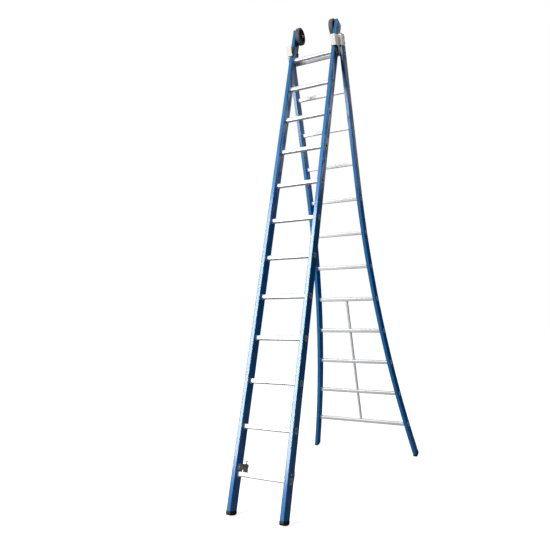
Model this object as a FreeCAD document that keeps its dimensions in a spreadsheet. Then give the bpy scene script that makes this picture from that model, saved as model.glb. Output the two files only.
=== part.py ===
import FreeCAD, Part
import math
import os

# Two section combination ladder standing as an A-frame.
# World frame: +X to the ladder's right, +Y from the front section to the rear section, +Z up.
# The origin is on the floor, midway between the front feet and the rear feet.
# Every sub-part is drawn upright in the frame of its own section: x across the ladder,
# y through the depth of the stile, z up along the stile from the foot. The section's
# placement then leans it. "level" below always means a distance along the stile.

os.makedirs("parts", exist_ok=True)
doc = FreeCAD.newDocument("MultiPositionLadder")

SIZES = [
    ("rung_pitch", 280.0),
    ("rung_count", 12),
    ("foot_reach", 988.6),
    ("front_lean", 15.23),
    ("rear_lean", 17.89),
    ("stile_width", 27.0),
    ("stile_depth", 80.0),
    ("stile_wall", 2.0),
    ("stile_corner", 4.0),
    ("stile_start", 30.0),
    ("front_inner", 162.0),
    ("front_first_rung", 237.0),
    ("front_top", 3586.0),
    ("rear_inner", 201.0),
    ("rear_first_rung", 289.0),
    ("rear_top", 3503.0),
    ("bend_start", 2393.0),
    ("bend_radius", 11650.0),
    ("rung_depth", 28.0),
    ("rung_height", 30.0),
    ("rung_corner", 8.0),
    ("rung_wall", 1.8),
    ("rib_depth", 0.9),
    ("rib_width", 2.4),
    ("rib_count", 4),
    ("bead_grow", 3.0),
    ("bead_thick", 1.5),
    ("strut_width", 16.0),
    ("strut_depth", 22.0),
    ("strut_wall", 1.5),
    ("strut_count", 4),
    ("foot_end", 5.0),
    ("foot_round", 14.0),
    ("foot_plug", 70.0),
    ("foot_groove_wide", 2.4),
    ("foot_groove_deep", 1.6),
    ("cap_thick", 4.0),
    ("cap_plug", 13.0),
    ("closed_spacing", 56.0),
    ("bracket_low", 3421.0),
    ("bracket_tall", 80.0),
    ("bracket_plate", 3.0),
    ("bracket_bolt_depth", 6.0),
    ("bracket_bolt_edge", 18.0),
    ("flange_front", 105.0),
    ("flange_inner", 163.0),
    ("bracket_back", 30.0),
    ("ear_drop", 62.0),
    ("ear_half_wide", 16.0),
    ("ear_back", 17.0),
    ("shoe_wall", 3.4),
    ("shoe_play", 0.5),
    ("shoe_below", 12.0),
    ("shoe_above", 68.0),
    ("shoe_web_gap", 2.5),
    ("shoe_lip", 9.0),
    ("shoe_pad", 14.0),
    ("pivot_radius", 6.0),
    ("pivot_clearance", 0.08),
    ("pivot_head_radius", 10.0),
    ("pivot_head_thick", 1.4),
    ("pivot_collar_radius", 11.0),
    ("bolt_radius", 4.0),
    ("bolt_head_radius", 8.0),
    ("bolt_head_thick", 4.0),
    ("nut_flats", 13.0),
    ("nut_thick", 6.5),
    ("wheel_level", 3550.0),
    ("wheel_radius", 66.0),
    ("wheel_width", 33.0),
    ("wheel_gap", 4.0),
    ("wheel_side_play", 1.0),
    ("tyre_shoulder", 4.0),
    ("hub_radius", 53.0),
    ("hub_web", 14.0),
    ("hub_boss_radius", 13.0),
    ("hub_recess", 2.0),
    ("axle_radius", 5.0),
    ("axle_clearance", 0.08),
    ("axle_head_radius", 9.0),
    ("hook_thick", 4.0),
    ("hook_base_low", 258.0),
    ("hook_base_high", 296.0),
    ("hook_base_front", 26.0),
    ("hook_seat_level", 278.0),
    ("hook_mouth_end", 87.0),
    ("hook_leg_end", 101.0),
    ("hook_leg_low", 237.0),
    ("hook_corner", 6.0),
    ("hook_bolt_front", -12.0),
    ("hook_bolt_rear", 24.0),
    ("hook_bolt_level", 274.0),
    ("latch_thick", 3.0),
    ("latch_gap", 0.4),
    ("latch_pivot_depth", 74.0),
    ("latch_pivot_level", 286.0),
    ("latch_flap_low", 239.0),
    ("latch_flap_front", 41.0),
    ("latch_flap_back", 83.0),
    ("latch_tab_high", 316.0),
    ("latch_tab_thick", 4.5),
    ("rivet_radius", 3.0),
    ("rivet_head_radius", 5.5),
    ("rivet_head_thick", 2.0),
]

sheet = doc.addObject("Spreadsheet::Sheet", "Sizes")
for row_number, (word, value) in enumerate(SIZES, start=1):
    sheet.set("A%d" % row_number, word)
    sheet.set("B%d" % row_number, str(value))
    sheet.setAlias("B%d" % row_number, word)
doc.recompute()


def size(word):
    return float(sheet.get(word))


WIDTH = size("stile_width")
DEPTH = size("stile_depth")
WALL = size("stile_wall")
PITCH = size("rung_pitch")
RUNGS = int(size("rung_count"))
FRONT_INNER = size("front_inner")
FRONT_OUTER = FRONT_INNER + WIDTH
REAR_INNER = size("rear_inner")
REAR_OUTER = REAR_INNER + WIDTH
FRONT_LEAN = math.radians(size("front_lean"))
REAR_LEAN = math.radians(size("rear_lean"))
SIDES = (("left", -1), ("right", 1))

# The two stile centre planes meet above the pivot. The pivot is the point that is half
# the closed spacing away from both planes, so folding brings the sections parallel.
MEET_HEIGHT = 2 * size("foot_reach") / (math.tan(FRONT_LEAN) + math.tan(REAR_LEAN))
HALF_OPENING = (FRONT_LEAN + REAR_LEAN) / 2
PIVOT_OFFSET = size("closed_spacing") / 2
PIVOT_BELOW_MEET = PIVOT_OFFSET / math.tan(HALF_OPENING)
FRONT_PIVOT_LEVEL = MEET_HEIGHT / math.cos(FRONT_LEAN) - PIVOT_BELOW_MEET
REAR_PIVOT_LEVEL = MEET_HEIGHT / math.cos(REAR_LEAN) - PIVOT_BELOW_MEET

FRONT_FRAME = FreeCAD.Placement(
    FreeCAD.Vector(0, -size("foot_reach"), 0),
    FreeCAD.Rotation(FreeCAD.Vector(1, 0, 0), -size("front_lean")))
REAR_FRAME = FreeCAD.Placement(
    FreeCAD.Vector(0, size("foot_reach"), 0),
    FreeCAD.Rotation(FreeCAD.Vector(1, 0, 0), size("rear_lean")))

exported = []


# ---------------------------------------------------------------- drawing helpers

def new_body(name):
    body = doc.addObject("PartDesign::Body", name)
    body.Label = name
    return body


def new_sketch(body, name, plane, offset=0.0, turn=None):
    sketch = body.newObject("Sketcher::SketchObject", name)
    origin_plane = [f for f in body.Origin.OriginFeatures if f.Role == plane][0]
    sketch.AttachmentSupport = [(origin_plane, "")]
    sketch.MapMode = "FlatFace"
    rotation = turn if turn else FreeCAD.Rotation()
    if isinstance(offset, FreeCAD.Vector):
        sketch.AttachmentOffset = FreeCAD.Placement(offset, rotation)
    else:
        sketch.AttachmentOffset = FreeCAD.Placement(FreeCAD.Vector(0, 0, offset), rotation)
    return sketch


def draw_loop(sketch, corners):
    points = [FreeCAD.Vector(a, b, 0) for a, b in corners]
    for start, end in zip(points, points[1:] + points[:1]):
        sketch.addGeometry(Part.LineSegment(start, end), False)


def draw_circle(sketch, centre, radius):
    middle = FreeCAD.Vector(centre[0], centre[1], 0)
    sketch.addGeometry(Part.Circle(middle, FreeCAD.Vector(0, 0, 1), radius), False)


def draw_arc(sketch, centre, radius, first, last):
    circle = Part.Circle(FreeCAD.Vector(centre[0], centre[1], 0), FreeCAD.Vector(0, 0, 1), radius)
    sketch.addGeometry(Part.ArcOfCircle(circle, first, last), False)


def draw_line(sketch, start, end):
    first = FreeCAD.Vector(start[0], start[1], 0)
    last = FreeCAD.Vector(end[0], end[1], 0)
    sketch.addGeometry(Part.LineSegment(first, last), False)


def draw_round_box(sketch, centre, wide, high, radius):
    left, right = centre[0] - wide / 2, centre[0] + wide / 2
    low, top = centre[1] - high / 2, centre[1] + high / 2
    quarter = math.pi / 2
    draw_line(sketch, (left + radius, low), (right - radius, low))
    draw_line(sketch, (right, low + radius), (right, top - radius))
    draw_line(sketch, (right - radius, top), (left + radius, top))
    draw_line(sketch, (left, top - radius), (left, low + radius))
    draw_arc(sketch, (left + radius, low + radius), radius, 2 * quarter, 3 * quarter)
    draw_arc(sketch, (right - radius, low + radius), radius, 3 * quarter, 4 * quarter)
    draw_arc(sketch, (right - radius, top - radius), radius, 0, quarter)
    draw_arc(sketch, (left + radius, top - radius), radius, quarter, 2 * quarter)


def add_pad(body, name, sketch, length, both_ways=False, backwards=False):
    pad = body.newObject("PartDesign::Pad", name)
    pad.Profile = sketch
    pad.Midplane = both_ways
    pad.Reversed = backwards
    pad.setExpression("Length", length)
    doc.recompute()
    return pad


def add_through_pocket(body, name, sketch):
    before = body.Shape.Volume
    pocket = body.newObject("PartDesign::Pocket", name)
    pocket.Profile = sketch
    pocket.Type = "ThroughAll"
    pocket.Midplane = True
    doc.recompute()
    if pocket.Shape.Volume >= before:
        raise ValueError("pocket %s of %s removes nothing" % (name, body.Label))
    return pocket


def add_pocket(body, name, sketch, length, both_ways=False, backwards=False):
    before = body.Shape.Volume
    pocket = body.newObject("PartDesign::Pocket", name)
    pocket.Profile = sketch
    pocket.Midplane = both_ways
    pocket.Reversed = backwards
    pocket.setExpression("Length", length)
    doc.recompute()
    if pocket.Shape.Volume >= before:
        raise ValueError("pocket %s of %s removes nothing" % (name, body.Label))
    return pocket


def edges_like(base, wanted):
    names = []
    for number, edge in enumerate(base.Shape.Edges, start=1):
        if wanted(edge):
            names.append("Edge%d" % number)
    return names


def add_fillet(body, name, base, radius, wanted):
    fillet = body.newObject("PartDesign::Fillet", name)
    fillet.Base = (base, edges_like(base, wanted))
    fillet.setExpression("Radius", radius)
    doc.recompute()


def repeat_up(body, name, feature, spacing, count):
    pattern = body.newObject("PartDesign::LinearPattern", name)
    pattern.Originals = [feature]
    axis = [f for f in body.Origin.OriginFeatures if f.Role == "Z_Axis"][0]
    pattern.Direction = (axis, [""])
    pattern.Length = spacing * (count - 1)
    pattern.Occurrences = count
    body.Tip = pattern
    doc.recompute()
    return pattern


def mirror_across(body, name, features):
    mirrored = body.newObject("PartDesign::Mirrored", name)
    mirrored.Originals = features
    plane = [f for f in body.Origin.OriginFeatures if f.Role == "YZ_Plane"][0]
    mirrored.MirrorPlane = (plane, [""])
    body.Tip = mirrored
    doc.recompute()
    return mirrored


def finish_part(part, frame):
    part.Placement = frame
    doc.recompute()
    shape = part.Shape
    if shape.isNull() or not shape.isValid():
        raise ValueError("%s has no valid shape" % part.Label)
    shape.exportStep("parts/%s.step" % part.Label)
    exported.append(part)


def group_part(name, solids, frame):
    group = doc.addObject("Part::Feature", name)
    group.Label = name
    group.Shape = Part.makeCompound(solids)
    finish_part(group, frame)


def rod_along_x(start, end, depth, level, radius):
    low, high = min(start, end), max(start, end)
    return Part.makeCylinder(radius, high - low, FreeCAD.Vector(low, depth, level),
                             FreeCAD.Vector(1, 0, 0))


def hex_along_x(start, end, depth, level, flats, bore):
    low, high = min(start, end), max(start, end)
    reach = flats / math.sqrt(3)
    corners = []
    for step in range(7):
        angle = math.radians(60 * step + 30)
        corners.append(FreeCAD.Vector(low, depth + reach * math.cos(angle),
                                      level + reach * math.sin(angle)))
    face = Part.Face(Part.makePolygon(corners))
    nut = face.extrude(FreeCAD.Vector(high - low, 0, 0))
    return nut.cut(rod_along_x(low, high, depth, level, bore))


def through_bolt(side, head_at, nut_at, depth, level):
    """A domed bolt head outside one face and a hex nut outside the other."""
    outward = 1 if abs(head_at) > abs(nut_at) else -1
    radius = size("bolt_radius")
    head_end = head_at + outward * size("bolt_head_thick")
    nut_end = nut_at - outward * size("nut_thick")
    tip = nut_end - outward * size("bolt_head_thick") / 2
    shank = rod_along_x(side * head_at, side * tip, depth, level, radius)
    head = rod_along_x(side * head_at, side * head_end, depth, level, size("bolt_head_radius"))
    head_rim = []
    for edge in head.Edges:
        middle = edge.CenterOfMass
        if abs(middle.x - side * head_end) < size("bolt_head_thick") / 4:
            head_rim.append(edge)
    head = head.makeFillet(size("bolt_head_thick") / 2, head_rim)
    bolt = shank.fuse(head).removeSplitter()
    nut = hex_along_x(side * nut_at, side * nut_end, depth, level, size("nut_flats"), radius)
    return [bolt, nut]


# ---------------------------------------------------------------- stile shapes

def bent_point(radius, angle, side):
    centre_x = REAR_INNER + size("bend_radius")
    across = centre_x - radius * math.cos(angle)
    return (side * across, size("bend_start") - radius * math.sin(angle))


def bend_angle(radius, level):
    drop = max(size("bend_start") - level, 0.0)
    return math.asin(drop / radius)


def rear_face(radius, level):
    """Distance from the middle plane to a stile face at a level, and the face's slope."""
    angle = bend_angle(radius, level)
    across = REAR_INNER + size("bend_radius") - radius * math.cos(angle)
    return across, angle


def draw_bent_outline(sketch, side, inset, low_angle, top):
    """Outline of a rear stile seen from the front, drawn inset from its walls."""
    inner = size("bend_radius") - inset
    outer = size("bend_radius") - WIDTH + inset
    centre = (side * (REAR_INNER + size("bend_radius")), size("bend_start"))
    for radius in (inner, outer):
        straight_low = bent_point(radius, 0, side)
        draw_line(sketch, straight_low, (straight_low[0], top))
        if side > 0:
            draw_arc(sketch, centre, radius, math.pi, math.pi + low_angle)
        else:
            draw_arc(sketch, centre, radius, -low_angle, 0)
    draw_line(sketch, (bent_point(inner, 0, side)[0], top), (bent_point(outer, 0, side)[0], top))
    draw_line(sketch, bent_point(inner, low_angle, side), bent_point(outer, low_angle, side))


def cut_rung_holes(body, first_level):
    sketch = new_sketch(body, body.Name + "_rung_hole", "YZ_Plane")
    draw_round_box(sketch, (0, first_level), size("rung_depth"), size("rung_height"),
                   size("rung_corner"))
    hole = add_through_pocket(body, body.Name + "_rung_cut", sketch)
    repeat_up(body, body.Name + "_rung_holes", hole, PITCH, RUNGS)


def cut_round_holes(body, name, spots):
    sketch = new_sketch(body, body.Name + "_" + name, "YZ_Plane")
    for depth, level, radius in spots:
        draw_circle(sketch, (depth, level), radius)
    add_through_pocket(body, body.Name + "_" + name + "_cut", sketch)


HOOK_BOLTS = ((size("hook_bolt_front"), size("hook_bolt_level")),
              (size("hook_bolt_rear"), size("hook_bolt_level")))
BRACKET_TOP = size("bracket_low") + size("bracket_tall")
BRACKET_BOLTS = ((size("bracket_bolt_depth"), size("bracket_low") + size("bracket_bolt_edge")),
                 (size("bracket_bolt_depth"), BRACKET_TOP - size("bracket_bolt_edge")))


def make_front_stile(word, side):
    body = new_body("front_%s_stile" % word)
    middle = side * (FRONT_INNER + WIDTH / 2)
    start = size("stile_start")
    outline = new_sketch(body, body.Name + "_outline", "XY_Plane", start)
    corner = size("stile_corner")
    draw_round_box(outline, (middle, 0), WIDTH, DEPTH, corner)
    draw_round_box(outline, (middle, 0), WIDTH - 2 * WALL, DEPTH - 2 * WALL, corner - WALL)
    add_pad(body, body.Name + "_tube", outline, "Sizes.front_top - Sizes.stile_start")
    cut_rung_holes(body, size("front_first_rung"))
    spots = [(0.0, size("wheel_level"), size("axle_radius"))]
    for depth, level in HOOK_BOLTS:
        spots.append((depth, level, size("bolt_radius")))
    cut_round_holes(body, "bolt_holes", spots)
    finish_part(body, FRONT_FRAME)


def make_rear_stile(word, side):
    body = new_body("rear_%s_stile" % word)
    low_angle = bend_angle(size("bend_radius") - WIDTH / 2, size("stile_start"))
    outline = new_sketch(body, body.Name + "_outline", "XZ_Plane")
    draw_bent_outline(outline, side, 0.0, low_angle, size("rear_top"))
    pad = add_pad(body, body.Name + "_bar", outline, "Sizes.stile_depth", both_ways=True)

    def is_long_corner(edge):
        ends = edge.Vertexes
        at_faces = all(abs(abs(v.Point.y) - DEPTH / 2) < 0.01 for v in ends)
        return at_faces and edge.Length > size("bend_start") / 4

    add_fillet(body, body.Name + "_corners", pad, "Sizes.stile_corner", is_long_corner)
    cavity = new_sketch(body, body.Name + "_cavity", "XZ_Plane")
    past_end = math.radians(1.0)
    draw_bent_outline(cavity, side, WALL, low_angle + past_end, size("rear_top") + WIDTH)
    add_pocket(body, body.Name + "_hollow", cavity, "Sizes.stile_depth - 2 * Sizes.stile_wall",
               both_ways=True)
    cut_rung_holes(body, size("rear_first_rung"))
    spots = [(depth, level, size("bolt_radius")) for depth, level in BRACKET_BOLTS]
    cut_round_holes(body, "bolt_holes", spots)
    finish_part(body, REAR_FRAME)


# ---------------------------------------------------------------- rungs and struts

def draw_ribbed_tube(sketch, level):
    """Rounded tube with shallow grooves across its tread."""
    deep, tall = size("rung_depth"), size("rung_height")
    radius = size("rung_corner")
    wall = size("rung_wall")
    left, right = -deep / 2, deep / 2
    low, top = level - tall / 2, level + tall / 2
    quarter = math.pi / 2
    draw_line(sketch, (left + radius, low), (right - radius, low))
    draw_line(sketch, (right, low + radius), (right, top - radius))
    draw_line(sketch, (left, top - radius), (left, low + radius))
    draw_arc(sketch, (left + radius, low + radius), radius, 2 * quarter, 3 * quarter)
    draw_arc(sketch, (right - radius, low + radius), radius, 3 * quarter, 4 * quarter)
    draw_arc(sketch, (right - radius, top - radius), radius, 0, quarter)
    draw_arc(sketch, (left + radius, top - radius), radius, quarter, 2 * quarter)
    flat = right - left - 2 * radius
    count = int(size("rib_count"))
    gap = (flat - (count - 1) * size("rib_width")) / count
    groove = top - size("rib_depth")
    here = left + radius
    for number in range(count):
        draw_line(sketch, (here, top), (here + gap, top))
        here += gap
        if number < count - 1:
            across = here + size("rib_width")
            draw_line(sketch, (here, top), (here, groove))
            draw_line(sketch, (here, groove), (across, groove))
            draw_line(sketch, (across, groove), (across, top))
            here = across
    inner_tall = tall - wall - wall - size("rib_depth")
    inner_middle = level - size("rib_depth") / 2
    draw_round_box(sketch, (0, inner_middle), deep - 2 * wall, inner_tall, radius - wall)


def add_bead(body, name, across, level, angle, inward):
    """Swaged ring standing on a stile face round the end of a rung."""
    turn = FreeCAD.Rotation(FreeCAD.Vector(1, 0, 0), -math.degrees(angle))
    sketch = new_sketch(body, name + "_ring", "YZ_Plane", FreeCAD.Vector(0, level, across), turn)
    grow = size("bead_grow")
    deep, tall = size("rung_depth"), size("rung_height")
    draw_round_box(sketch, (0, 0), deep + 2 * grow, tall + 2 * grow, size("rung_corner") + grow)
    draw_round_box(sketch, (0, 0), deep - grow, tall - grow, size("rung_corner") - grow / 2)
    return add_pad(body, name, sketch, "Sizes.bead_thick", backwards=inward)


def make_rung(name, level, inner_face, outer_face, frame):
    """inner_face and outer_face are (distance from middle plane, slope) at this level."""
    body = new_body(name)
    profile = new_sketch(body, name + "_profile", "YZ_Plane")
    draw_ribbed_tube(profile, level)
    half_length = outer_face[0] + size("bead_thick") / 2
    add_pad(body, name + "_tube", profile, "%.4f" % (2 * half_length), both_ways=True)
    outer = add_bead(body, name + "_outer_bead", outer_face[0], level, outer_face[1], False)
    inner = add_bead(body, name + "_inner_bead", inner_face[0], level, inner_face[1], True)
    mirror_across(body, name + "_other_end", [outer, inner])
    finish_part(body, frame)


def make_strut(number, low_level):
    """Short tube standing between two wide lower rungs."""
    name = "rear_centre_strut_%d" % number
    body = new_body(name)
    start = low_level + size("rung_height") / 2
    outline = new_sketch(body, name + "_outline", "XY_Plane", start)
    wide, deep, wall = size("strut_width"), size("strut_depth"), size("strut_wall")
    draw_round_box(outline, (0, 0), wide, deep, wall * 2)
    draw_round_box(outline, (0, 0), wide - 2 * wall, deep - 2 * wall, wall)
    add_pad(body, name + "_tube", outline, "Sizes.rung_pitch - Sizes.rung_height")
    finish_part(body, REAR_FRAME)


# ---------------------------------------------------------------- feet and caps

def make_foot(name, side, frame, lean_sign, lean, bent):
    """Moulded plug in the stile end. It is as wide as the stile below it, its corners are
    rounded, and a small flat on its lower corner rests level on the floor."""
    body = new_body(name)
    start, end, plug = size("stile_start"), size("foot_end"), size("foot_plug")
    top = start + plug
    outline = new_sketch(body, name + "_outline", "XZ_Plane")
    stem = new_sketch(body, name + "_stem", "XZ_Plane")
    if bent:
        inner, outer = size("bend_radius"), size("bend_radius") - WIDTH
        middle = size("bend_radius") - WIDTH / 2
        end_angle = bend_angle(middle, end)
        start_angle = bend_angle(middle, start)
        top_angle = bend_angle(middle, top)
        centre = (side * (REAR_INNER + size("bend_radius")), size("bend_start"))
        draw_bent_block(outline, side, centre, inner, outer, end_angle, start_angle)
        draw_bent_block(stem, side, centre, inner - WALL, outer + WALL, start_angle, top_angle)
    else:
        near, far = side * FRONT_INNER, side * FRONT_OUTER
        draw_loop(outline, [(near, end), (far, end), (far, start), (near, start)])
        near, far = near + side * WALL, far - side * WALL
        draw_loop(stem, [(near, start), (far, start), (far, top), (near, top)])
    block = add_pad(body, name + "_block", outline, "Sizes.stile_depth", both_ways=True)

    def is_end_corner(edge):
        ends = [v.Point for v in edge.Vertexes]
        runs_across = abs(ends[0].y - ends[-1].y) < 0.01 and abs(ends[0].x - ends[-1].x) > WALL
        return runs_across and all(p.z < (start + end) / 2 for p in ends)

    add_fillet(body, name + "_toes", block, "Sizes.foot_round", is_end_corner)
    add_pad(body, name + "_stem_block", stem, "Sizes.stile_depth - 4 * Sizes.stile_wall",
            both_ways=True)
    slope = lean_sign * math.tan(lean)
    sole = new_sketch(body, name + "_sole", "YZ_Plane")
    draw_loop(sole, [(-DEPTH, -DEPTH * slope), (DEPTH, DEPTH * slope),
                     (DEPTH, -2 * DEPTH), (-DEPTH, -2 * DEPTH)])
    add_through_pocket(body, name + "_sole_cut", sole)
    tread = new_sketch(body, name + "_tread", "YZ_Plane")
    half_groove, deep = size("foot_groove_wide") / 2, size("foot_groove_deep")
    for middle_depth in (-DEPTH / 4, -DEPTH / 12, DEPTH / 12):
        near, far = middle_depth * lean_sign - half_groove, middle_depth * lean_sign + half_groove
        draw_loop(tread, [(near, end - DEPTH), (far, end - DEPTH), (far, end + deep),
                          (near, end + deep)])
    add_through_pocket(body, name + "_tread_cut", tread)
    finish_part(body, frame)


def draw_bent_block(sketch, side, centre, inner, outer, low_angle, high_angle):
    for radius in (inner, outer):
        if side > 0:
            draw_arc(sketch, centre, radius, math.pi + high_angle, math.pi + low_angle)
        else:
            draw_arc(sketch, centre, radius, -low_angle, -high_angle)
    for angle in (low_angle, high_angle):
        draw_line(sketch, bent_point(inner, angle, side), bent_point(outer, angle, side))


def make_top_cap(name, side, inner_face, top, frame):
    """Plug pressed into the open top of a stile."""
    body = new_body(name)
    middle = side * (inner_face + WIDTH / 2)
    plate = new_sketch(body, name + "_plate", "XY_Plane", top)
    corner = size("stile_corner")
    draw_round_box(plate, (middle, 0), WIDTH, DEPTH, corner)
    add_pad(body, name + "_lid", plate, "Sizes.cap_thick")
    plug = new_sketch(body, name + "_plug", "XY_Plane", top)
    draw_round_box(plug, (middle, 0), WIDTH - 2 * WALL, DEPTH - 2 * WALL, corner - WALL)
    draw_round_box(plug, (middle, 0), WIDTH - 4 * WALL, DEPTH - 4 * WALL, corner - WALL)
    add_pad(body, name + "_skirt", plug, "Sizes.cap_plug", backwards=True)
    finish_part(body, frame)


# ---------------------------------------------------------------- guide brackets and pivots

def make_guide_bracket(word, side):
    """Channel round the rear stile top with a flange that reaches in front of the front stile."""
    name = "%s_guide_bracket" % word
    body = new_body(name)
    plate = size("bracket_plate")
    rim = REAR_INNER
    outer_plate = REAR_OUTER + plate
    front = -size("flange_front")
    wrap = -DEPTH / 2 - plate
    back = size("bracket_back")
    profile = new_sketch(body, name + "_profile", "XY_Plane", size("bracket_low"))
    corners = [(rim - plate, back), (rim, back), (rim, wrap + plate),
               (REAR_OUTER, wrap + plate), (REAR_OUTER, back), (outer_plate, back),
               (outer_plate, wrap), (rim, wrap), (rim, front), (size("flange_inner"), front),
               (size("flange_inner"), front + plate), (rim - plate, front + plate)]
    draw_loop(profile, [(side * across, depth) for across, depth in corners])
    add_pad(body, name + "_channel", profile, "Sizes.bracket_tall")
    ear = new_sketch(body, name + "_ear_outline", "YZ_Plane", side * (rim - plate / 2))
    half = size("ear_half_wide")
    low = size("bracket_low") - size("ear_drop") + half
    top = size("bracket_low") + half / 2
    middle = -size("ear_back") - half
    draw_line(ear, (middle - half, low), (middle - half, top))
    draw_line(ear, (middle - half, top), (middle + half, top))
    draw_line(ear, (middle + half, top), (middle + half, low))
    draw_arc(ear, (middle, low), half, math.pi, 2 * math.pi)
    add_pad(body, name + "_ear", ear, "Sizes.bracket_plate", both_ways=True)
    pivot = new_sketch(body, name + "_pivot_hole", "YZ_Plane")
    draw_circle(pivot, (-PIVOT_OFFSET, REAR_PIVOT_LEVEL), size("pivot_radius"))
    add_through_pocket(body, name + "_pivot_cut", pivot)
    bolts = new_sketch(body, name + "_bolt_holes", "YZ_Plane")
    for depth, level in BRACKET_BOLTS:
        draw_circle(bolts, (depth, level), size("bolt_radius"))
    add_through_pocket(body, name + "_bolt_cut", bolts)
    finish_part(body, REAR_FRAME)


def make_pivot_stud(word, side):
    """Shouldered rivet fixed in the bracket's ear, on which the guide shoe turns."""
    name = "%s_pivot_stud" % word
    web_near = FRONT_OUTER + size("shoe_web_gap")
    web_far = web_near + size("shoe_wall")
    head_start = web_near - size("pivot_head_thick") - 2 * size("pivot_clearance")
    head_end = web_near - 2 * size("pivot_clearance")
    ear_near = REAR_INNER - size("bracket_plate")
    collar_start = web_far + 2 * size("pivot_clearance")
    depth, level = -PIVOT_OFFSET, REAR_PIVOT_LEVEL
    shank = rod_along_x(side * head_start, side * REAR_INNER, depth, level, size("pivot_radius"))
    head = rod_along_x(side * head_start, side * head_end, depth, level,
                       size("pivot_head_radius"))
    collar = rod_along_x(side * collar_start, side * ear_near, depth, level,
                         size("pivot_collar_radius"))
    stud = shank.fuse([head, collar]).removeSplitter()
    group_part(name, stud.Solids, REAR_FRAME)


def make_bracket_bolts():
    solids = []
    head_at = REAR_OUTER + size("bracket_plate")
    radius = size("bolt_radius")
    for word, side in SIDES:
        for depth, level in BRACKET_BOLTS:
            start = REAR_INNER - size("bracket_plate")
            end = head_at + size("nut_thick") + size("bolt_head_thick") / 2
            solids.append(rod_along_x(side * start, side * end, depth, level, radius))
            nut_end = head_at + size("nut_thick")
            solids.append(hex_along_x(side * head_at, side * nut_end, depth, level,
                                      size("nut_flats"), radius))
    group_part("guide_bracket_bolts", solids, REAR_FRAME)


def make_guide_shoe(word, side):
    """Channel that wraps the front stile. The stile slides through it, and it turns on its stud."""
    name = "%s_guide_shoe" % word
    body = new_body(name)
    play, wall = size("shoe_play"), size("shoe_wall")
    web_near = FRONT_OUTER + size("shoe_web_gap")
    web_far = web_near + wall
    inner_near = FRONT_INNER - play
    inner_far = inner_near - wall
    half = DEPTH / 2 + play
    lip = half - size("shoe_lip")
    pad_edge = half - size("shoe_pad")
    pad_face = FRONT_OUTER + play
    low = FRONT_PIVOT_LEVEL - size("shoe_below")
    profile = new_sketch(body, name + "_profile", "XY_Plane", low)
    front_half = [(web_far, -half - wall), (inner_far, -half - wall), (inner_far, -lip),
                  (inner_near, -lip), (inner_near, -half), (pad_face, -half),
                  (pad_face, -pad_edge), (web_near, -pad_edge)]
    rear_half = [(across, -depth) for across, depth in reversed(front_half)]
    draw_loop(profile, [(side * across, depth) for across, depth in front_half + rear_half])
    add_pad(body, name + "_channel", profile, "Sizes.shoe_below + Sizes.shoe_above")
    recess = new_sketch(body, name + "_head_recess", "YZ_Plane", side * web_near)
    draw_circle(recess, (PIVOT_OFFSET, FRONT_PIVOT_LEVEL), size("pivot_head_radius") + play)
    add_pocket(body, name + "_recess_cut", recess, "Sizes.shoe_web_gap", backwards=side < 0)
    hole = new_sketch(body, name + "_pivot_hole", "YZ_Plane", side * web_near)
    draw_circle(hole, (PIVOT_OFFSET, FRONT_PIVOT_LEVEL),
                size("pivot_radius") + size("pivot_clearance"))
    add_pocket(body, name + "_pivot_cut", hole, "Sizes.shoe_wall", backwards=side > 0)
    finish_part(body, FRONT_FRAME)


# ---------------------------------------------------------------- wall wheels

def wheel_faces():
    far = FRONT_INNER - size("wheel_gap")
    return far - size("wheel_width"), far


def revolve_about_axle(body, name, corners, side):
    centre = FreeCAD.Vector(0, size("wheel_level"), 0)
    sketch = new_sketch(body, name, "XZ_Plane", centre)
    draw_loop(sketch, [(side * across, radius) for across, radius in corners])
    turned = body.newObject("PartDesign::Revolution", name + "_turned")
    turned.Profile = sketch
    turned.ReferenceAxis = (sketch, ["H_Axis"])
    turned.Angle = 360
    doc.recompute()


def make_wheel_hub(word, side):
    body = new_body("%s_wheel_hub" % word)
    near, far = wheel_faces()
    middle = (near + far) / 2
    bore = size("axle_radius") + size("axle_clearance")
    rim, boss = size("hub_radius"), size("hub_boss_radius")
    half_web = size("hub_web") / 2
    rim_inside = rim - boss / 2
    recess = size("hub_recess")
    corners = [(near, bore), (near, boss), (middle - half_web, boss + recess),
               (middle - half_web, rim_inside), (near + recess, rim_inside),
               (near + recess, rim), (far - recess, rim), (far - recess, rim_inside),
               (middle + half_web, rim_inside), (middle + half_web, boss + recess),
               (far, boss), (far, bore)]
    revolve_about_axle(body, body.Name + "_section", corners, side)
    finish_part(body, FRONT_FRAME)


def make_wheel_tyre(word, side):
    body = new_body("%s_wheel_tyre" % word)
    near, far = wheel_faces()
    rim, tread = size("hub_radius"), size("wheel_radius")
    shoulder = size("tyre_shoulder")
    corners = [(near, rim), (near, tread - shoulder), (near + shoulder, tread),
               (far - shoulder, tread), (far, tread - shoulder), (far, rim)]
    revolve_about_axle(body, body.Name + "_section", corners, side)
    finish_part(body, FRONT_FRAME)


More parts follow.
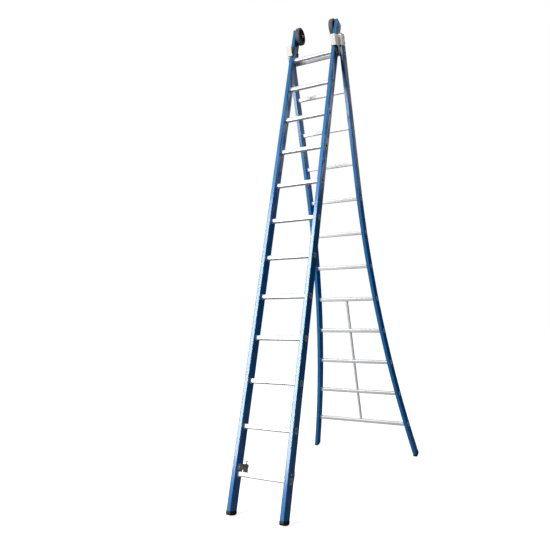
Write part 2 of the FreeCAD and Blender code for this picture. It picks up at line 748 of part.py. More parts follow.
def make_wheel_axle(word, side):
    """Bolt through the stile, its spacer sleeve and the nut that keeps the wheel on."""
    near, far = wheel_faces()
    level, radius = size("wheel_level"), size("axle_radius")
    play, head_thick = size("wheel_side_play"), size("bolt_head_thick")
    nut_near = near - play - size("nut_thick")
    tip = nut_near - head_thick / 2
    shank = rod_along_x(side * tip, side * FRONT_OUTER, 0, level, radius)
    head_end = FRONT_OUTER + head_thick
    head = rod_along_x(side * FRONT_OUTER, side * head_end, 0, level, size("axle_head_radius"))
    bolt = shank.fuse(head).removeSplitter()
    sleeve_near = far + play
    sleeve = rod_along_x(side * sleeve_near, side * FRONT_INNER, 0, level,
                         size("axle_head_radius"))
    sleeve = sleeve.cut(rod_along_x(side * sleeve_near, side * FRONT_INNER, 0, level, radius))
    nut = hex_along_x(side * nut_near, side * (near - play), 0, level,
                      size("axle_head_radius") * 2, radius)
    group_part("%s_wheel_axle" % word, bolt.Solids + sleeve.Solids + nut.Solids, FRONT_FRAME)


# ---------------------------------------------------------------- rung hooks

def make_rung_hook(word, side):
    """Flat steel hook bolted inside the front stile. Its mouth opens downward behind the stile."""
    name = "%s_rung_hook" % word
    body = new_body(name)
    face = FRONT_INNER - size("hook_thick") / 2
    outline = new_sketch(body, name + "_outline", "YZ_Plane", side * face)
    front, back = -size("hook_base_front"), DEPTH / 2
    low, high = size("hook_base_low"), size("hook_base_high")
    seat, mouth = size("hook_seat_level"), size("hook_mouth_end")
    leg, leg_low = size("hook_leg_end"), size("hook_leg_low")
    corner = size("hook_corner")
    draw_loop(outline, [(front, low + corner), (front + corner, low), (back - corner, low),
                        (back, low + corner), (back + corner, seat), (mouth - corner, seat),
                        (mouth, seat - corner), (mouth, leg_low + corner / 2),
                        (mouth + corner / 2, leg_low), (leg - corner / 2, leg_low),
                        (leg, leg_low + corner / 2), (leg, high - corner), (leg - corner, high),
                        (front + corner, high), (front, high - corner)])
    add_pad(body, name + "_plate", outline, "Sizes.hook_thick", both_ways=True)
    holes = new_sketch(body, name + "_holes", "YZ_Plane")
    for depth, level in HOOK_BOLTS:
        draw_circle(holes, (depth, level), size("bolt_radius"))
    draw_circle(holes, (size("latch_pivot_depth"), size("latch_pivot_level")),
                size("rivet_radius"))
    add_through_pocket(body, name + "_holes_cut", holes)
    finish_part(body, FRONT_FRAME)


def make_hook_latch(word, side):
    """Sprung flap that closes the hook's mouth, with a curled thumb tab above its rivet."""
    name = "%s_hook_latch" % word
    body = new_body(name)
    thick = size("latch_thick")
    face = FRONT_INNER - size("hook_thick") - size("latch_gap") - thick / 2
    outline = new_sketch(body, name + "_outline", "YZ_Plane", side * face)
    centre, pivot_level = size("latch_pivot_depth"), size("latch_pivot_level")
    low, front, back = size("latch_flap_low"), size("latch_flap_front"), size("latch_flap_back")
    tab = size("latch_tab_thick")
    neck = 2 * tab
    crown = size("latch_tab_high")
    draw_loop(outline, [(front, low + tab), (front + tab, low), (back - tab, low),
                        (back, low + tab), (back, pivot_level), (centre + tab, pivot_level + neck),
                        (centre - tab, crown - 3 * tab), (centre - tab, crown - 2 * tab),
                        (centre, crown - tab), (centre + 2 * tab, crown - tab),
                        (centre + 2 * tab, crown), (centre - tab / 2, crown),
                        (centre - 2 * tab, crown - tab * 1.5),
                        (centre - 2 * tab, crown - 3 * tab),
                        (centre - neck, pivot_level), (front, pivot_level - tab)])
    add_pad(body, name + "_plate", outline, "Sizes.latch_thick", both_ways=True)
    hole = new_sketch(body, name + "_rivet_hole", "YZ_Plane")
    draw_circle(hole, (centre, pivot_level), size("rivet_radius") + size("pivot_clearance"))
    add_through_pocket(body, name + "_hole_cut", hole)
    finish_part(body, FRONT_FRAME)


def make_hook_fasteners():
    solids = []
    inner = FRONT_INNER - size("hook_thick")
    rivet, head = size("rivet_radius"), size("rivet_head_radius")
    head_thick, gap = size("rivet_head_thick"), size("latch_gap")
    depth, level = size("latch_pivot_depth"), size("latch_pivot_level")
    latch_inner = inner - gap - size("latch_thick") - gap
    for word, side in SIDES:
        for bolt_depth, bolt_level in HOOK_BOLTS:
            solids += through_bolt(side, inner, FRONT_OUTER, bolt_depth, bolt_level)
        shank = rod_along_x(side * latch_inner, side * FRONT_INNER, depth, level, rivet)
        near = rod_along_x(side * (latch_inner - head_thick), side * latch_inner, depth, level, head)
        far = rod_along_x(side * FRONT_INNER, side * (FRONT_INNER + head_thick), depth, level, head)
        solids += shank.fuse([near, far]).removeSplitter().Solids
    group_part("hook_bolts_and_rivets", solids, FRONT_FRAME)


# ---------------------------------------------------------------- build everything

for word, side in SIDES:
    make_front_stile(word, side)
    make_rear_stile(word, side)

for index in range(RUNGS):
    number = RUNGS - index
    front_level = size("front_first_rung") + index * PITCH
    make_rung("front_rung_%02d" % number, front_level, (FRONT_INNER, 0.0), (FRONT_OUTER, 0.0),
              FRONT_FRAME)
    rear_level = size("rear_first_rung") + index * PITCH
    make_rung("rear_rung_%02d" % number, rear_level,
              rear_face(size("bend_radius"), rear_level),
              rear_face(size("bend_radius") - WIDTH, rear_level), REAR_FRAME)

for index in range(int(size("strut_count"))):
    make_strut(index + 1, size("rear_first_rung") + index * PITCH)

for word, side in SIDES:
    make_foot("front_%s_foot" % word, side, FRONT_FRAME, 1, FRONT_LEAN, bent=False)
    make_foot("rear_%s_foot" % word, side, REAR_FRAME, -1, REAR_LEAN, bent=True)
    make_top_cap("front_%s_top_cap" % word, side, FRONT_INNER, size("front_top"), FRONT_FRAME)
    make_top_cap("rear_%s_top_cap" % word, side, REAR_INNER, size("rear_top"), REAR_FRAME)
    make_guide_bracket(word, side)
    make_pivot_stud(word, side)
    make_guide_shoe(word, side)
    make_wheel_hub(word, side)
    make_wheel_tyre(word, side)
    make_wheel_axle(word, side)
    make_rung_hook(word, side)
    make_hook_latch(word, side)

make_bracket_bolts()
make_hook_fasteners()

bad = []
for item in doc.Objects:
    if "Invalid" in item.State or "Error" in item.State:
        bad.append(item.Name)
if bad:
    raise ValueError("objects not built: " + ", ".join(bad))
print("pivot levels", round(FRONT_PIVOT_LEVEL, 2), round(REAR_PIVOT_LEVEL, 2))
pivot_world = REAR_FRAME.multVec(FreeCAD.Vector(0, -PIVOT_OFFSET, REAR_PIVOT_LEVEL))
print("pivot in world", pivot_world)
wheel_world = FRONT_FRAME.multVec(FreeCAD.Vector(0, 0, size("wheel_level")))
print("wheel axle in world", wheel_world)
latch_world = FRONT_FRAME.multVec(FreeCAD.Vector(0, size("latch_pivot_depth"),
                                                 size("latch_pivot_level")))
print("latch rivet in world", latch_world)
print(len(exported), "parts")
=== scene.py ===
import math

import bmesh
import bpy
from mathutils import Matrix, Vector


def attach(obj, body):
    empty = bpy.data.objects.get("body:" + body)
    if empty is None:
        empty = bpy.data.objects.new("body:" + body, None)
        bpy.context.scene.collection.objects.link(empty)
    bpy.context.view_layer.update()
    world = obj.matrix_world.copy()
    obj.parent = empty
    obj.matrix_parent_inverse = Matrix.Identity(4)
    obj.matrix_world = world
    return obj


# The looks of a two-section combination ladder: blue powder coated stiles, bare aluminium
# rungs, zinc plated guide brackets, galvanised rung hooks, black feet and wall wheels.

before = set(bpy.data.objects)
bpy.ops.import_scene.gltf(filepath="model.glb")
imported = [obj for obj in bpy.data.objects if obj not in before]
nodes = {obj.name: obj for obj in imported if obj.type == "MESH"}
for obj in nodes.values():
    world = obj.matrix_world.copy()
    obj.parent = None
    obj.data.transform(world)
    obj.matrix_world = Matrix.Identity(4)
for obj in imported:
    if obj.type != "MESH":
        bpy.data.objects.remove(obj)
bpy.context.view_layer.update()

# ---------------------------------------------------------------- sizes, in metres

SIDES = (("left", -1), ("right", 1))

# Stance: each section's lean from upright, and how far the front feet stand from the middle.
FRONT_LEAN = math.radians(15.23)
REAR_LEAN = math.radians(17.89)
FOOT_REACH = 0.9886

# Latch spring, wound round the latch rivet. Places are in the front section's own frame.
LATCH_DEPTH = 0.074
LATCH_LEVEL = 0.286
SPRING_START = 0.1492
SPRING_PITCH = 0.0014
SPRING_RADIUS = 0.0078
SPRING_TURNS = 3.5
SPRING_STEPS_PER_TURN = 16
SPRING_LEG = 2.6 * SPRING_RADIUS
WIRE_RADIUS = 0.0006
WIRE_SIDES = 8

# Ribs and spokes of the wall wheels, also in the front section's own frame.
WHEEL_LEVEL = 3.550
WHEEL_RADIUS = 0.066
WHEEL_MIDDLE = 0.1415
TYRE_RIB_OFFSETS = (-0.008, 0.0, 0.008)
TYRE_RIB_WIDTH = 0.003
TYRE_RIB_HEIGHT = 0.0006
TYRE_RIB_ROOT = 0.001
TYRE_RIB_TAPER = 0.7
TYRE_RIB_STEPS = 72
HUB_WEB = 0.014
SPOKE_COUNT = 6
SPOKE_START = 0.014
SPOKE_END = 0.0465
SPOKE_WIDTH = 0.006
SPOKE_RISE = 0.006
SPOKE_ROOT = 0.001
SPOKE_TAPER = 0.6
SPOKE_EDGE = 0.0008

# Edges worn round, by the ending of the node's name.
WORN_EDGE_BY_ENDING = {
    "_guide_bracket": 0.0008,
    "_guide_shoe": 0.0007,
    "_rung_hook": 0.0008,
    "_hook_latch": 0.0006,
    "_bolts_and_rivets": 0.0005,
    "_bracket_bolts": 0.0005,
    "_wheel_axle": 0.0005,
    "_wheel_hub": 0.0006,
    "_top_cap": 0.0008,
}
SHARP_ANGLE = math.radians(35)

# Camera, in the ladder's frame.
CAMERA_PLACE = Vector((1.5632, -3.7474, 1.1250))
CAMERA_YAW = math.radians(27.64)
CAMERA_PITCH = math.radians(5.35)
CAMERA_LENS = 34.72
SENSOR_WIDTH = 36.0
CLIP_DISTANCE = 200.0

# Studio. An area light is its name, place, target, size and power in watts, and the ending
# of the names of the nodes it falls on where it does not light everything.
AREA_LIGHTS = (
    ("tall_softbox", (-1.85, -4.5, 3.15), (0.1, -0.6, 1.2), (1.9, 4.0), 372.0, None),
    ("back_softbox", (1.5, 3.15, 3.9), (0.2, -0.3, 2.4), (1.0, 1.8), 4.6, None),
    ("high_softbox", (1.4, 3.2, 5.8), (0.2, -0.1, 3.3), (1.4, 1.3), 2.5, None),
    ("bracket_fill", (1.1, -0.6, 3.5), (0.2, -0.1, 3.35), (0.5, 0.5), 15.0, "_guide_bracket"),
    ("top_light", (0.3, 0.5, 6.6), (0.0, 0.0, 1.0), (4.0, 4.0), 130.0, None),
)
FLOOR_HALF_WIDTH = 60.0
FLOOR_BOUNCE = (0.18, 0.18, 0.18, 1.0)
WHITE = (1.0, 1.0, 1.0, 1.0)
ROOM_BRIGHT_SIDE = (-0.45, -0.85, 0.28)
ROOM_DARK = 0.02
ROOM_BRIGHT = 0.24

# Blue coat. Each pair of heights above the floor is where a mark starts and ends: the dust low
# down, the rubs with their painted reflection, and the painted shade that darkens the upper end.
# A face counts as a side face more and more as it looks from 0.4 to 0.9 of the way sideways.
DEEP_BLUE = (0.004, 0.130, 0.400)
LIGHT_BLUE = (0.008, 0.165, 0.460)
# Painted shade: the coat is made darker towards the top of the stiles, standing in for less light
# reaching there.
PAINTED_SHADE_BLUE = (0.008, 0.105, 0.260)
DUSTY_BLUE = (0.04, 0.13, 0.26)
# Partly rubbed bare metal, partly a painted reflection on the side faces high up.
RUB_AND_REFLECTION_METAL = (0.36, 0.40, 0.47)
CHIPPED_METAL = (0.45, 0.47, 0.50)
DUSTY_HEIGHTS = (0.05, 0.30)
RUB_AND_REFLECTION_HEIGHTS = (1.6, 2.7)
PAINTED_SHADE_HEIGHTS = (2.4, 3.3)
RUB_STRETCH = (45.0, 45.0, 7.0)
SIDE_FACE = (0.4, 0.9)

# Rungs.
DARK_LINE = (0.66, 0.67, 0.685)
LIGHT_LINE = (0.78, 0.785, 0.79)
SCUFFED_METAL = (0.50, 0.505, 0.515)
# Painted highlight: the swaged rung ends, which face sideways into shade, are made near white and
# less metallic so that they read lit.
PAINTED_LIT_END_METAL = (0.93, 0.94, 0.92)
PAINTED_LIT_END_METALLIC = 0.15
PAINTED_LIT_END_FACE = (0.5, 0.9)
LINE_STRETCH = (2.5, 1500.0, 1500.0)

# Plated steel and floor.
MARK_STRETCH = (90.0, 900.0, 90.0)
FLOOR_SHADE = (0.46, 0.46, 0.46)
FLOOR_LIGHT = (0.50, 0.50, 0.50)
FLOOR_LIFT_DISTANCES = (1.2, 4.5)
FLOOR_LIFT = (0.80, 1.0)


# ---------------------------------------------------------------- material helpers

def new_material(name):
    """A new material with its node tree and its main shader."""
    material = bpy.data.materials.new(name)
    material.use_nodes = True
    tree = material.node_tree
    shader = tree.nodes["Principled BSDF"]
    return material, tree, shader


def object_coordinates(tree, scale=(1.0, 1.0, 1.0), turn=(0.0, 0.0, 0.0)):
    """Object coordinates, turned and then stretched, for a texture's Vector input."""
    place = tree.nodes.new("ShaderNodeTexCoord")
    rotate = tree.nodes.new("ShaderNodeMapping")
    rotate.inputs["Rotation"].default_value = turn
    stretch = tree.nodes.new("ShaderNodeMapping")
    stretch.inputs["Scale"].default_value = scale
    tree.links.new(place.outputs["Object"], rotate.inputs["Vector"])
    tree.links.new(rotate.outputs["Vector"], stretch.inputs["Vector"])
    return stretch.outputs["Vector"]


def noise(tree, vector, scale=1.0, detail=4.0, roughness=0.55):
    """A cloudy pattern from nought to one."""
    texture = tree.nodes.new("ShaderNodeTexNoise")
    texture.inputs["Scale"].default_value = scale
    texture.inputs["Detail"].default_value = detail
    texture.inputs["Roughness"].default_value = roughness
    tree.links.new(vector, texture.inputs["Vector"])
    return texture.outputs["Fac"]


def ramp(tree, value, low, low_colour, high, high_colour):
    """Colour that goes from one to the other as the value goes from low to high."""
    node = tree.nodes.new("ShaderNodeValToRGB")
    ends = node.color_ramp.elements
    ends[0].position = low
    ends[0].color = (*low_colour, 1.0)
    ends[1].position = high
    ends[1].color = (*high_colour, 1.0)
    tree.links.new(value, node.inputs["Fac"])
    return node.outputs["Color"]


def map_range(tree, value, source, result):
    """Carries the source range (low, high) over to the result range, clamped."""
    node = tree.nodes.new("ShaderNodeMapRange")
    node.inputs["From Min"].default_value, node.inputs["From Max"].default_value = source
    node.inputs["To Min"].default_value, node.inputs["To Max"].default_value = result
    tree.links.new(value, node.inputs["Value"])
    return node.outputs["Result"]


def multiply(tree, first, second):
    """A mask that is on only where both masks are."""
    node = tree.nodes.new("ShaderNodeMath")
    node.operation = "MULTIPLY"
    tree.links.new(first, node.inputs[0])
    tree.links.new(second, node.inputs[1])
    return node.outputs["Value"]


def mix_colour(tree, factor, first, second):
    """First colour socket where the factor is nought, second colour where it is one."""
    node = tree.nodes.new("ShaderNodeMix")
    node.data_type = "RGBA"
    tree.links.new(factor, node.inputs["Factor"])
    tree.links.new(first, node.inputs["A"])
    node.inputs["B"].default_value = (*second, 1.0)
    return node.outputs["Result"]


def add_bump(tree, shader, height, strength, distance):
    """Raises the surface's shading where the height pattern is high."""
    bump = tree.nodes.new("ShaderNodeBump")
    bump.inputs["Strength"].default_value = strength
    bump.inputs["Distance"].default_value = distance
    tree.links.new(height, bump.inputs["Height"])
    tree.links.new(bump.outputs["Normal"], shader.inputs["Normal"])


def height_above_floor(tree):
    """Height in metres with the ladder standing as it does at rest."""
    place = tree.nodes.new("ShaderNodeTexCoord")
    split = tree.nodes.new("ShaderNodeSeparateXYZ")
    tree.links.new(place.outputs["Object"], split.inputs["Vector"])
    return split.outputs["Z"]


def sideways(tree):
    """One on the faces that look left or right, nought on the faces that look to the front."""
    place = tree.nodes.new("ShaderNodeTexCoord")
    split = tree.nodes.new("ShaderNodeSeparateXYZ")
    tree.links.new(place.outputs["Normal"], split.inputs["Vector"])
    size = tree.nodes.new("ShaderNodeMath")
    size.operation = "ABSOLUTE"
    tree.links.new(split.outputs["X"], size.inputs[0])
    return size.outputs["Value"]


def for_camera(tree, unseen, seen):
    """One shader for the camera's own rays and another for the light that bounces."""
    path = tree.nodes.new("ShaderNodeLightPath")
    mix = tree.nodes.new("ShaderNodeMixShader")
    tree.links.new(path.outputs["Is Camera Ray"], mix.inputs[0])
    tree.links.new(unseen, mix.inputs[1])
    tree.links.new(seen, mix.inputs[2])
    return mix.outputs["Shader"]


# ---------------------------------------------------------------- materials

def powder_coat(name, lean, coat):
    """Glossy blue powder coat: orange peel, rub marks on the side faces with a painted reflection
    in their streaks, a dusty lower end, and painted shade darkening the upper end.
    """
    material, tree, shader = new_material(name)
    plain = object_coordinates(tree)
    side = sideways(tree)

    patches = noise(tree, plain, scale=5.0, detail=3.0)
    blue = ramp(tree, patches, 0.30, DEEP_BLUE, 0.70, LIGHT_BLUE)

    # Rubs run along the stile. They show most high up on the side faces, where their pale streaks
    # are partly real rubbed metal and partly a painted reflection.
    along = object_coordinates(tree, scale=RUB_STRETCH, turn=(lean, 0.0, 0.0))
    rubs = noise(tree, along, detail=6.0, roughness=0.65)
    high_up = map_range(tree, height_above_floor(tree), RUB_AND_REFLECTION_HEIGHTS, (0.06, 0.75))
    worn = multiply(tree, map_range(tree, rubs, (0.47, 0.60), (0.0, 1.0)), high_up)
    rub_and_reflection_mask = multiply(tree, worn, map_range(tree, side, SIDE_FACE, (0.08, 1.0)))
    rubbed = mix_colour(tree, rub_and_reflection_mask, blue, RUB_AND_REFLECTION_METAL)

    chips = noise(tree, plain, scale=210.0, detail=3.0, roughness=0.6)
    chip_mask = map_range(tree, chips, (0.735, 0.75), (0.0, 0.7))
    chipped = mix_colour(tree, chip_mask, rubbed, CHIPPED_METAL)

    dust_mask = map_range(tree, height_above_floor(tree), DUSTY_HEIGHTS, (0.12, 0.0))
    dusty = mix_colour(tree, dust_mask, chipped, DUSTY_BLUE)

    # Painted shade: the coat darkens towards the top of the stiles, where less light falls.
    painted_shade_mask = map_range(tree, height_above_floor(tree), PAINTED_SHADE_HEIGHTS, (0.0, 0.8))
    colour = mix_colour(tree, painted_shade_mask, dusty, PAINTED_SHADE_BLUE)
    tree.links.new(colour, shader.inputs["Base Color"])

    gloss = map_range(tree, rubs, (0.35, 0.75), (0.34, 0.48))
    tree.links.new(gloss, shader.inputs["Roughness"])
    shader.inputs["Specular IOR Level"].default_value = 0.15

    # The side faces keep their clear gloss only where they are rubbed.
    unrubbed_side = multiply(tree, map_range(tree, rubs, (0.47, 0.55), (1.0, 0.0)), side)
    coat_weight = map_range(tree, unrubbed_side, SIDE_FACE, (coat, 0.15 * coat))
    tree.links.new(coat_weight, shader.inputs["Coat Weight"])
    shader.inputs["Coat Roughness"].default_value = 0.16

    peel = noise(tree, plain, scale=700.0, detail=2.0)
    add_bump(tree, shader, peel, strength=0.10, distance=0.0006)
    return material


def rung_aluminium(name, metallic):
    """Bare extruded aluminium: fine lines along the rung, dull patches, and swaged ends painted
    pale as a painted highlight.
    """
    material, tree, shader = new_material(name)
    plain = object_coordinates(tree)

    drawn = noise(tree, object_coordinates(tree, scale=LINE_STRETCH))
    bright = ramp(tree, drawn, 0.30, DARK_LINE, 0.70, LIGHT_LINE)
    scuffs = noise(tree, plain, scale=42.0, detail=6.0, roughness=0.7)
    scuff_mask = map_range(tree, scuffs, (0.58, 0.72), (0.0, 0.40))
    scuffed = mix_colour(tree, scuff_mask, bright, SCUFFED_METAL)

    # Painted highlight: the sideways-facing rung ends are painted pale and less metallic.
    painted_lit_end = map_range(tree, sideways(tree), PAINTED_LIT_END_FACE, (0.0, 1.0))
    colour = mix_colour(tree, painted_lit_end, scuffed, PAINTED_LIT_END_METAL)
    tree.links.new(colour, shader.inputs["Base Color"])
    metal = map_range(tree, painted_lit_end, (0.0, 1.0), (metallic, PAINTED_LIT_END_METALLIC))
    tree.links.new(metal, shader.inputs["Metallic"])

    gloss = map_range(tree, scuffs, (0.35, 0.75), (0.36, 0.54))
    tree.links.new(gloss, shader.inputs["Roughness"])
    add_bump(tree, shader, drawn, strength=0.18, distance=0.0004)
    return material


def plated_steel(name, dark, light, patch_scale, roughness, metallic):
    """Plated steel with cloudy patches, handling marks and a fine grain."""
    material, tree, shader = new_material(name)
    plain = object_coordinates(tree)

    cloud = noise(tree, plain, scale=patch_scale, detail=5.0, roughness=0.6)
    plating = ramp(tree, cloud, 0.32, dark, 0.68, light)
    marks = noise(tree, object_coordinates(tree, scale=MARK_STRETCH))
    mark_mask = map_range(tree, marks, (0.64, 0.72), (0.0, 0.4))
    colour = mix_colour(tree, mark_mask, plating, dark)
    tree.links.new(colour, shader.inputs["Base Color"])
    shader.inputs["Metallic"].default_value = metallic

    gloss = map_range(tree, cloud, (0.3, 0.7), (roughness - 0.08, roughness + 0.10))
    tree.links.new(gloss, shader.inputs["Roughness"])
    grain = noise(tree, plain, scale=1400.0, detail=2.0)
    add_bump(tree, shader, grain, strength=0.12, distance=0.0004)
    return material


def moulded_black(name, dark, light, roughness, grain_scale):
    """Moulded plastic or rubber: fine grain, dusty lighter patches."""
    material, tree, shader = new_material(name)
    plain = object_coordinates(tree)

    dust = noise(tree, plain, scale=26.0, detail=6.0, roughness=0.65)
    colour = ramp(tree, dust, 0.40, dark, 0.75, light)
    tree.links.new(colour, shader.inputs["Base Color"])

    gloss = map_range(tree, dust, (0.35, 0.75), (roughness, roughness + 0.2))
    tree.links.new(gloss, shader.inputs["Roughness"])
    grain = noise(tree, plain, scale=grain_scale, detail=2.0)
    add_bump(tree, shader, grain, strength=0.25, distance=0.0006)
    return material


front_blue = powder_coat("front_blue_coat", FRONT_LEAN, coat=1.0)
rear_blue = powder_coat("rear_blue_coat", -REAR_LEAN, coat=0.45)
front_rung_metal = rung_aluminium("front_rung_metal", metallic=0.55)
rear_rung_metal = rung_aluminium("rear_rung_metal", metallic=0.20)
bracket_metal = plated_steel(
    "bracket_metal", dark=(0.27, 0.265, 0.25), light=(0.37, 0.36, 0.34),
    patch_scale=22.0, roughness=0.50, metallic=0.30)
# The guide shoes are made near black.
shoe_metal = plated_steel(
    "shoe_metal", dark=(0.020, 0.024, 0.030), light=(0.060, 0.066, 0.075),
    patch_scale=30.0, roughness=0.45, metallic=0.30)
hook_metal = plated_steel(
    "hook_metal", dark=(0.34, 0.345, 0.31), light=(0.66, 0.665, 0.62),
    patch_scale=60.0, roughness=0.42, metallic=0.25)
bolt_metal = plated_steel(
    "bolt_metal", dark=(0.50, 0.49, 0.46), light=(0.74, 0.73, 0.70),
    patch_scale=90.0, roughness=0.30, metallic=0.75)
spring_wire = plated_steel(
    "spring_wire", dark=(0.34, 0.34, 0.33), light=(0.58, 0.58, 0.57),
    patch_scale=140.0, roughness=0.30, metallic=0.80)
foot_rubber = moulded_black(
    "foot_rubber", dark=(0.006, 0.006, 0.007), light=(0.018, 0.018, 0.020),
    roughness=0.50, grain_scale=700.0)
cap_plastic = moulded_black(
    "cap_plastic", dark=(0.006, 0.006, 0.007), light=(0.016, 0.016, 0.018),
    roughness=0.38, grain_scale=1100.0)
tyre_rubber = moulded_black(
    "tyre_rubber", dark=(0.055, 0.056, 0.060), light=(0.11, 0.11, 0.115),
    roughness=0.58, grain_scale=800.0)

MATERIAL_BY_ENDING = {
    "_wheel_axle": bolt_metal,
    "_bolts_and_rivets": bolt_metal,
    "_bracket_bolts": bolt_metal,
    "_pivot_stud": bolt_metal,
    "_guide_bracket": bracket_metal,
    "_guide_shoe": shoe_metal,
    "_rung_hook": hook_metal,
    "_hook_latch": hook_metal,
    "_wheel_hub": cap_plastic,
    "_top_cap": cap_plastic,
    "_wheel_tyre": tyre_rubber,
    "_foot": foot_rubber,
}


def material_for(name):
    """The material of the node with that name."""
    for ending, material in MATERIAL_BY_ENDING.items():
        if name.endswith(ending):
            return material
    if name.endswith("_stile"):
        return front_blue if name.startswith("front") else rear_blue
    if "_rung_" in name or "_centre_strut_" in name:
        return front_rung_metal if name.startswith("front") else rear_rung_metal
    raise ValueError("no material for " + name)


def wear_edges(piece, radius):
    """Rounds the piece's edges by that radius."""
    bevel = piece.modifiers.new("worn_edges", "BEVEL")
    bevel.width = radius
    bevel.segments = 2
    return bevel


for node_name, node in nodes.items():
    node.data.materials.clear()
    node.data.materials.append(material_for(node_name))
    for ending, radius in WORN_EDGE_BY_ENDING.items():
        if node_name.endswith(ending):
            bevel = wear_edges(node, radius)
            bevel.limit_method = "ANGLE"
            bevel.angle_limit = SHARP_ANGLE

# ---------------------------------------------------------------- added pieces

FRONT_FRAME = (Matrix.Translation((0.0, -FOOT_REACH, 0.0))
               @ Matrix.Rotation(-FRONT_LEAN, 4, "X"))
WHEEL_FRAME = FRONT_FRAME @ Matrix.Translation((0.0, 0.0, WHEEL_LEVEL))


def add_piece(name, build, material, body):
    """Makes the built mesh an object with that material, which moves with that body."""
    mesh = bpy.data.meshes.new(name)
    build.to_mesh(mesh)
    build.free()
    mesh.materials.append(material)
    piece = bpy.data.objects.new(name, mesh)
    bpy.context.scene.collection.objects.link(piece)
    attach(piece, body)
    return piece


def tube_along(build, points, radius, sides):
    """A closed tube of that radius through the points."""
    rings = []
    for index, point in enumerate(points):
        before = points[max(index - 1, 0)]
        after = points[min(index + 1, len(points) - 1)]
        turn = (after - before).to_track_quat("Z", "Y")
        ring = []
        for step in range(sides):
            angle = 2 * math.pi * step / sides
            offset = Vector((radius * math.cos(angle), radius * math.sin(angle), 0.0))
            ring.append(build.verts.new(point + turn @ offset))
        rings.append(ring)
    for near, far in zip(rings, rings[1:]):
        for step in range(sides):
            after = (step + 1) % sides
            face = build.faces.new((near[step], near[after], far[after], far[step]))
            face.smooth = True
    build.faces.new(list(reversed(rings[0])))
    build.faces.new(rings[-1])


def add_latch_spring(word, side):
    """Torsion spring wound round the latch rivet, with one leg on the flap."""
    coil = []
    for step in range(int(SPRING_TURNS * SPRING_STEPS_PER_TURN) + 1):
        angle = 2 * math.pi * step / SPRING_STEPS_PER_TURN
        across = side * (SPRING_START - SPRING_PITCH * step / SPRING_STEPS_PER_TURN)
        depth = LATCH_DEPTH + SPRING_RADIUS * math.cos(angle)
        level = LATCH_LEVEL + SPRING_RADIUS * math.sin(angle)
        coil.append(Vector((across, depth, level)))
    last = coil[-1]
    coil.append(last + Vector((0.0, 0.0, -SPRING_RADIUS)))
    coil.append(last + Vector((side * SPRING_PITCH * SPRING_TURNS / 2, 0.0, -SPRING_LEG)))
    build = bmesh.new()
    tube_along(build, [FRONT_FRAME @ point for point in coil], WIRE_RADIUS, WIRE_SIDES)
    add_piece(word + "_latch_spring", build, spring_wire, word + "_latch")


def add_ring(build, section, steps):
    """Sweeps a closed (across, radius) section round the wheel's axle."""
    loops = []
    for step in range(steps):
        angle = 2 * math.pi * step / steps
        loop = []
        for across, radius in section:
            point = Vector((across, radius * math.cos(angle), radius * math.sin(angle)))
            loop.append(build.verts.new(WHEEL_FRAME @ point))
        loops.append(loop)
    for step in range(steps):
        here, there = loops[step], loops[(step + 1) % steps]
        for index in range(len(section)):
            after = (index + 1) % len(section)
            face = build.faces.new((here[index], there[index], there[after], here[after]))
            face.smooth = True


def add_tyre_ribs(word, side):
    """Three moulded ribs round the tread of the wall wheel."""
    build = bmesh.new()
    half = TYRE_RIB_WIDTH / 2
    low, high = WHEEL_RADIUS - TYRE_RIB_ROOT, WHEEL_RADIUS + TYRE_RIB_HEIGHT
    for offset in TYRE_RIB_OFFSETS:
        middle = side * WHEEL_MIDDLE + offset
        crown = half * TYRE_RIB_TAPER
        section = [(middle - half, low), (middle + half, low),
                   (middle + crown, high), (middle - crown, high)]
        add_ring(build, section, TYRE_RIB_STEPS)
    bmesh.ops.recalc_face_normals(build, faces=build.faces)
    add_piece(word + "_tyre_ribs", build, tyre_rubber, word + "_wheel")


def add_spoke(build, side, face, turn):
    """One tapered spoke on one face of the hub's web."""
    web = side * WHEEL_MIDDLE + face * HUB_WEB / 2
    corners = []
    for across, taper in ((web - face * SPOKE_ROOT, 1.0), (web + face * SPOKE_RISE, SPOKE_TAPER)):
        for radius in (SPOKE_START, SPOKE_END):
            for half in (-SPOKE_WIDTH / 2, SPOKE_WIDTH / 2):
                corner = WHEEL_FRAME @ turn @ Vector((across, half * taper, radius))
                corners.append(build.verts.new(corner))
    for a, b, c, d in ((0, 1, 3, 2), (4, 6, 7, 5), (0, 4, 5, 1),
                       (2, 3, 7, 6), (0, 2, 6, 4), (1, 5, 7, 3)):
        build.faces.new((corners[a], corners[b], corners[c], corners[d]))


def add_hub_spokes(word, side):
    """Stiffening spokes on both faces of the hub's web."""
    build = bmesh.new()
    for step in range(SPOKE_COUNT):
        turn = Matrix.Rotation(2 * math.pi * step / SPOKE_COUNT, 4, "X")
        for face in (-1, 1):
            add_spoke(build, side, face, turn)
    bmesh.ops.recalc_face_normals(build, faces=build.faces)
    piece = add_piece(word + "_hub_spokes", build, cap_plastic, word + "_wheel")
    wear_edges(piece, SPOKE_EDGE)


for word, side in SIDES:
    add_latch_spring(word, side)
    add_tyre_ribs(word, side)
    add_hub_spokes(word, side)

# ---------------------------------------------------------------- floor, light, camera

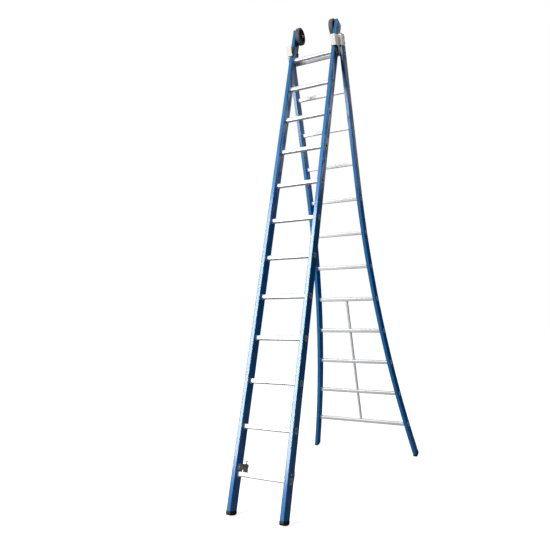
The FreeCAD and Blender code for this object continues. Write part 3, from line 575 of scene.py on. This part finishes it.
def make_floor():
    """A pale flat floor. The camera sees it lifted towards white so that it meets the backdrop."""
    mesh = bpy.data.meshes.new("floor")
    build = bmesh.new()
    bmesh.ops.create_grid(build, x_segments=8, y_segments=8, size=FLOOR_HALF_WIDTH)
    build.to_mesh(mesh)
    build.free()
    floor = bpy.data.objects.new("floor", mesh)
    bpy.context.scene.collection.objects.link(floor)

    material, tree, shader = new_material("floor_paint")
    plain = object_coordinates(tree)
    shade = noise(tree, plain, scale=1.2, detail=3.0)
    colour = ramp(tree, shade, 0.3, FLOOR_SHADE, 0.7, FLOOR_LIGHT)
    tree.links.new(colour, shader.inputs["Base Color"])
    shader.inputs["Roughness"].default_value = 0.9
    shader.inputs["Specular IOR Level"].default_value = 0.0

    distance = tree.nodes.new("ShaderNodeVectorMath")
    distance.operation = "LENGTH"
    tree.links.new(plain, distance.inputs[0])
    lift = map_range(tree, distance.outputs["Value"], FLOOR_LIFT_DISTANCES, FLOOR_LIFT)
    glow = tree.nodes.new("ShaderNodeEmission")
    tree.links.new(lift, glow.inputs["Strength"])
    lifted = tree.nodes.new("ShaderNodeAddShader")
    tree.links.new(shader.outputs["BSDF"], lifted.inputs[0])
    tree.links.new(glow.outputs["Emission"], lifted.inputs[1])

    bounce = tree.nodes.new("ShaderNodeBsdfDiffuse")
    bounce.inputs["Color"].default_value = FLOOR_BOUNCE
    surface = for_camera(tree, unseen=bounce.outputs["BSDF"], seen=lifted.outputs["Shader"])
    tree.links.new(surface, tree.nodes["Material Output"].inputs["Surface"])
    mesh.materials.append(material)


def make_world():
    """A white backdrop to the camera. As light, a room that is bright in front and to the left."""
    world = bpy.data.worlds.new("studio")
    bpy.context.scene.world = world
    world.use_nodes = True
    tree = world.node_tree
    tree.nodes.clear()

    backdrop = tree.nodes.new("ShaderNodeBackground")
    backdrop.inputs["Color"].default_value = WHITE
    backdrop.inputs["Strength"].default_value = 1.0

    place = tree.nodes.new("ShaderNodeTexCoord")
    toward = tree.nodes.new("ShaderNodeVectorMath")
    toward.operation = "DOT_PRODUCT"
    toward.inputs[1].default_value = ROOM_BRIGHT_SIDE
    tree.links.new(place.outputs["Generated"], toward.inputs[0])
    shade = map_range(tree, toward.outputs["Value"], (-0.7, 0.9), (ROOM_DARK, ROOM_BRIGHT))
    room = tree.nodes.new("ShaderNodeBackground")
    tree.links.new(shade, room.inputs["Strength"])

    output = tree.nodes.new("ShaderNodeOutputWorld")
    surface = for_camera(tree, unseen=room.outputs["Background"],
                         seen=backdrop.outputs["Background"])
    tree.links.new(surface, output.inputs["Surface"])


def nodes_group(name, ending):
    """A collection of the nodes whose names have that ending."""
    group = bpy.data.collections.new(name)
    for node_name, node in nodes.items():
        if node_name.endswith(ending):
            group.objects.link(node)
    return group


def make_area_light(name, place, target, size, power, only):
    """A soft rectangular light at its place, turned towards its target, unseen by the camera."""
    data = bpy.data.lights.new(name, "AREA")
    data.shape = "RECTANGLE"
    data.size, data.size_y = size
    data.energy = power
    light = bpy.data.objects.new(name, data)
    bpy.context.scene.collection.objects.link(light)
    aim = Vector(target) - Vector(place)
    light.matrix_world = Matrix.LocRotScale(Vector(place), aim.to_track_quat("-Z", "Y"), None)
    light.visible_camera = False
    if only is not None:
        light.light_linking.receiver_collection = nodes_group(name + "_group", only)


def make_camera():
    """The scene's camera. It looks level, then is tipped up by its pitch and turned by its yaw."""
    data = bpy.data.cameras.new("camera")
    data.lens = CAMERA_LENS
    data.sensor_width = SENSOR_WIDTH
    data.clip_end = CLIP_DISTANCE
    camera = bpy.data.objects.new("camera", data)
    bpy.context.scene.collection.objects.link(camera)
    camera.location = CAMERA_PLACE
    camera.rotation_euler = (math.pi / 2 + CAMERA_PITCH, 0.0, CAMERA_YAW)
    bpy.context.scene.camera = camera


make_floor()
make_world()
for area_light in AREA_LIGHTS:
    make_area_light(*area_light)
make_camera()
bpy.context.scene.view_settings.view_transform = "Standard"
